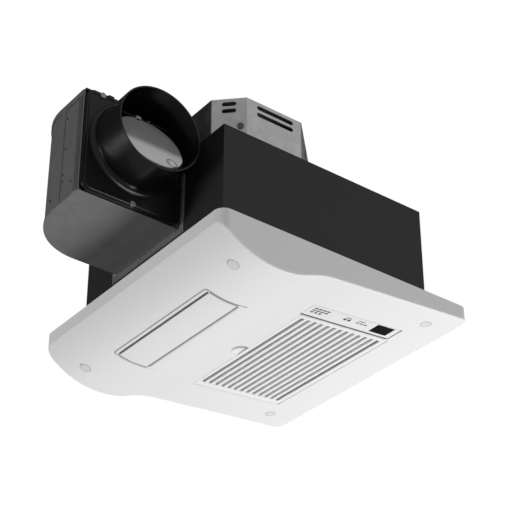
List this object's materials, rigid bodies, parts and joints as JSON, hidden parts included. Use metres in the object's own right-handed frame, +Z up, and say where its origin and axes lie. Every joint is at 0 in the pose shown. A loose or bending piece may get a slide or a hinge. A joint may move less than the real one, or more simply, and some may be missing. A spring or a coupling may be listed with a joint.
{
  "type": "bathroom ventilating dryer",
  "caption": "Ceiling-mounted bathroom ventilating dryer: white wavy panel with a hot-air louver and a slotted intake grille, black casing, fan, heater, and a duct elbow with a backdraft flap.",
  "frame": {"origin": "centre of the ceiling opening, on the ceiling's lower face", "axes": "+Z up into the ceiling, +X away from the duct side, -Y the way the duct collar points"},
  "size_m": [0.435, 0.338, 0.2355],
  "materials": {
    "white_plastic": "satin moulded white",
    "strip_plastic": "smooth white",
    "window_plastic": "clear black",
    "black_paint": "semi-gloss black paint",
    "galvanised": "galvanised sheet",
    "black_plastic": "gloss black moulding",
    "flap_aluminium": "plain sheet",
    "zinc_screws": "zinc plated",
    "bright_steel": "ground",
    "dark_plastic": "moulded dark grey",
    "grey_plastic": "moulded grey",
    "acetal": "natural white",
    "rubber": "soft black",
    "foam": "closed-cell foam",
    "core_iron": "laminated",
    "copper": "enamelled wire",
    "heater_aluminium": "mill finish",
    "circuit_board": "solder mask",
    "net": "woven plastic"
  },
  "bodies": {
    "housing": {"backdraft_pin": "bright_steel", "board_parts": "dark_plastic", "cable_grommet": "rubber", "casing": "black_paint", "collar_screws": "zinc_screws", "control_box": "galvanised", "control_box_lid": "galvanised", "control_strip": "strip_plastic", "cover_lugs": "galvanised", "cover_screws": "zinc_screws", "damper_motor": "grey_plastic", "damper_screws": "zinc_screws", "display_board": "circuit_board", "duct_collar": "black_plastic", "duct_elbow": "galvanised", "elbow_screws": "zinc_screws", "fan_scroll": "dark_plastic", "front_panel": "white_plastic", "heater_bars": "heater_aluminium", "heater_duct": "galvanised", "heater_fins": "heater_aluminium", "heater_frame": "dark_plastic", "inlet_ring": "galvanised", "louver_bushes": "acetal", "louver_motor": "bright_steel", "louver_motor_screws": "zinc_screws", "main_board": "circuit_board", "motor_bearings": "bright_steel", "motor_bracket": "galvanised", "motor_bushes": "rubber", "motor_cover": "galvanised", "motor_end_cap": "galvanised", "motor_housing": "galvanised", "motor_screws": "zinc_screws", "outlet_frame": "white_plastic", "outlet_gasket": "foam", "panel_screws": "zinc_screws", "port_gasket": "foam", "receiver_window": "window_plastic", "run_capacitor": "grey_plastic", "screw_caps": "white_plastic", "scroll_lid": "dark_plastic", "stator_core": "core_iron", "stator_windings": "copper", "terminal_block": "grey_plastic", "thermal_cutout": "bright_steel"},
    "fan": {"impeller": "dark_plastic", "impeller_nut": "zinc_screws", "motor_shaft": "bright_steel", "rotor_core": "core_iron"},
    "louver_vane": {"louver": "white_plastic", "louver_gear": "acetal"},
    "louver_drive": {"louver_pinion": "acetal"},
    "grille": {"intake_grille": "white_plastic", "filter_frame": "grey_plastic", "filter_mesh": "net"},
    "changeover": {"flow_damper": "dark_plastic"},
    "backdraft": {"backdraft_flap": "flap_aluminium"}
  },
  "joints": [
    {"name": "fan_spin", "type": "hinge", "parent": "housing", "child": "fan", "pos_m": [-0.053, -0.042, 0.11], "axis": [0, 0, 1], "continuous": true},
    {"name": "louver_swing", "type": "hinge", "parent": "housing", "child": "louver_vane", "pos_m": [-0.1095, 0, -0.03943], "axis": [0, 1, 0], "range_deg": [0, 80]},
    {"name": "louver_pinion_spin", "type": "hinge", "parent": "housing", "child": "louver_drive", "pos_m": [-0.1095, 0.09, -0.02143], "axis": [0, 1, 0], "range_deg": [-160, 0]},
    {"name": "grille_open", "type": "hinge", "parent": "housing", "child": "grille", "pos_m": [0.12105, 0.0135, -0.01857], "axis": [0, -1, 0], "range_deg": [0, 75]},
    {"name": "flow_damper_turn", "type": "hinge", "parent": "housing", "child": "changeover", "pos_m": [-0.135, 0.034, 0.072], "axis": [0, -1, 0], "range_deg": [0, 90]},
    {"name": "backdraft_swing", "type": "hinge", "parent": "housing", "child": "backdraft", "pos_m": [-0.203, -0.0695, 0.1485], "axis": [-1, 0, 0], "range_deg": [0, 38]}
  ],
  "couplings": [
    {"joint": "louver_pinion_spin", "follows": "louver_swing", "ratio": -2}
  ]
}
